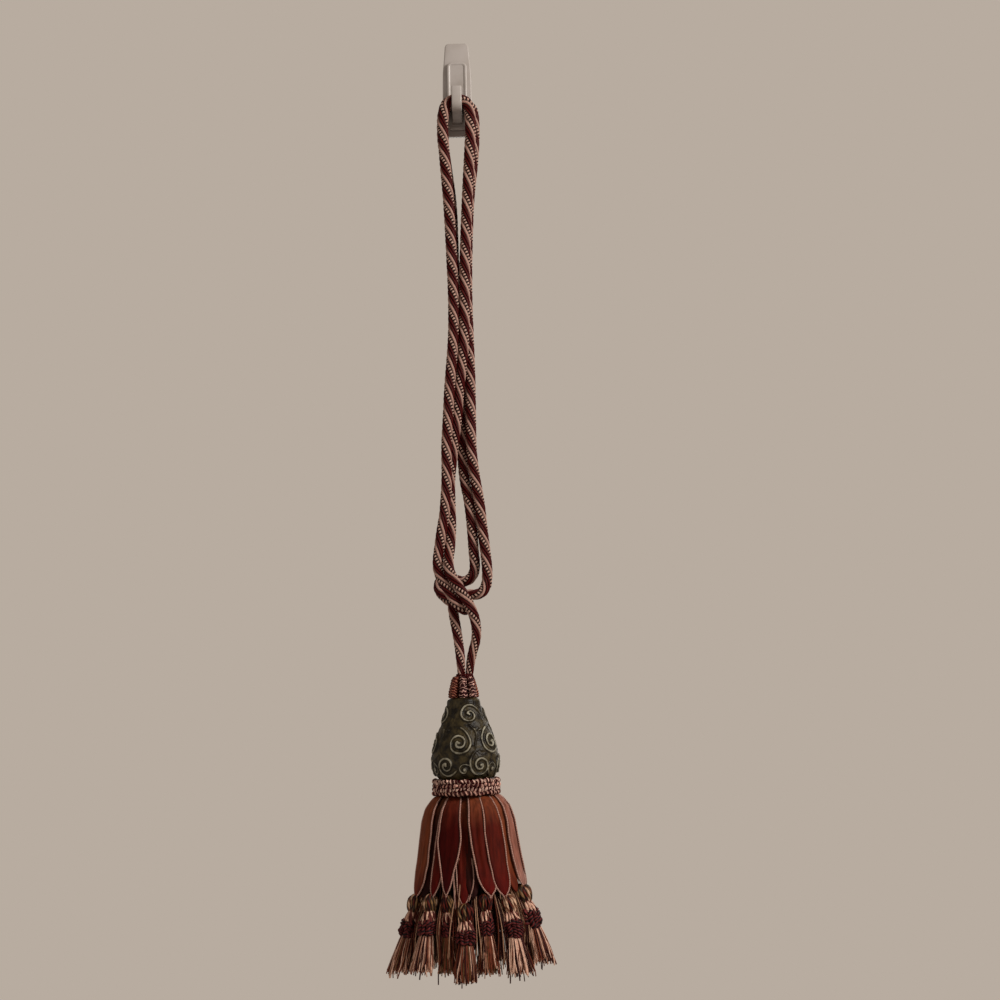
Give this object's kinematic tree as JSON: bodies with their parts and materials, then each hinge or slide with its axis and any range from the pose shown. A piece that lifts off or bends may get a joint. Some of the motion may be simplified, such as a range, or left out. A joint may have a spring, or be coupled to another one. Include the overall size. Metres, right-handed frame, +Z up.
{
  "type": "curtain tieback tassel on wall hook",
  "caption": "Twisted rope looped over a wall hook and knotted, carrying a tassel with a scrolled bronze head, braided collar, long cloth petals and a ring of small fringed tassels.",
  "frame": {"origin": "middle of the hook plate's back face, which lies flat on the wall", "axes": "+Z up, -Y out from the wall into the room, +X to the right as seen from the room"},
  "size_m": [0.1535, 0.1136, 0.9226],
  "materials": {
    "white_hook": "off-white moulded plastic with a soft gloss",
    "maroon_rope": "twisted rayon rope of maroon, dusty pink and striped plies",
    "striped_cord": "short loops of cream and maroon striped cord",
    "bronzed_resin": "olive-black cast resin with worn bronze on its raised scrolls",
    "pink_braid": "rows of twisted maroon, pink and cream cord",
    "dark_bullion": "dark maroon cords in the middle of the skirt",
    "russet_organza": "burgundy to rust gathered cloth edged with a dusty pink cord",
    "cream_loops": "plump loops of cream, brown and rust cord",
    "plum_ruff": "tight loops of plum and cream cord",
    "mixed_fringe": "cut fringe of cream, rust, olive and maroon thread"
  },
  "bodies": {
    "root": {"hook": "white_hook", "hook_plate": "white_hook", "rope": "maroon_rope", "neck_ruff": "striped_cord", "head": "bronzed_resin", "collar": "pink_braid", "skirt_core": "dark_bullion", "petal_01": "russet_organza", "petal_02": "russet_organza", "petal_03": "russet_organza", "petal_04": "russet_organza", "petal_05": "russet_organza", "petal_06": "russet_organza", "petal_07": "russet_organza", "petal_08": "russet_organza", "petal_09": "russet_organza", "petal_10": "russet_organza", "petal_11": "russet_organza", "petal_12": "russet_organza", "petal_13": "russet_organza", "turban_01": "cream_loops", "ruff_01": "plum_ruff", "fringe_01": "mixed_fringe", "turban_02": "cream_loops", "ruff_02": "plum_ruff", "fringe_02": "mixed_fringe", "turban_03": "cream_loops", "ruff_03": "plum_ruff", "fringe_03": "mixed_fringe", "turban_04": "cream_loops", "ruff_04": "plum_ruff", "fringe_04": "mixed_fringe", "turban_05": "cream_loops", "ruff_05": "plum_ruff", "fringe_05": "mixed_fringe", "turban_06": "cream_loops", "ruff_06": "plum_ruff", "fringe_06": "mixed_fringe", "turban_07": "cream_loops", "ruff_07": "plum_ruff", "fringe_07": "mixed_fringe", "turban_08": "cream_loops", "ruff_08": "plum_ruff", "fringe_08": "mixed_fringe", "turban_09": "cream_loops", "ruff_09": "plum_ruff", "fringe_09": "mixed_fringe", "turban_10": "cream_loops", "ruff_10": "plum_ruff", "fringe_10": "mixed_fringe", "turban_11": "cream_loops", "ruff_11": "plum_ruff", "fringe_11": "mixed_fringe", "turban_12": "cream_loops", "ruff_12": "plum_ruff", "fringe_12": "mixed_fringe", "turban_13": "cream_loops", "ruff_13": "plum_ruff", "fringe_13": "mixed_fringe"}
  },
  "joints": []
}
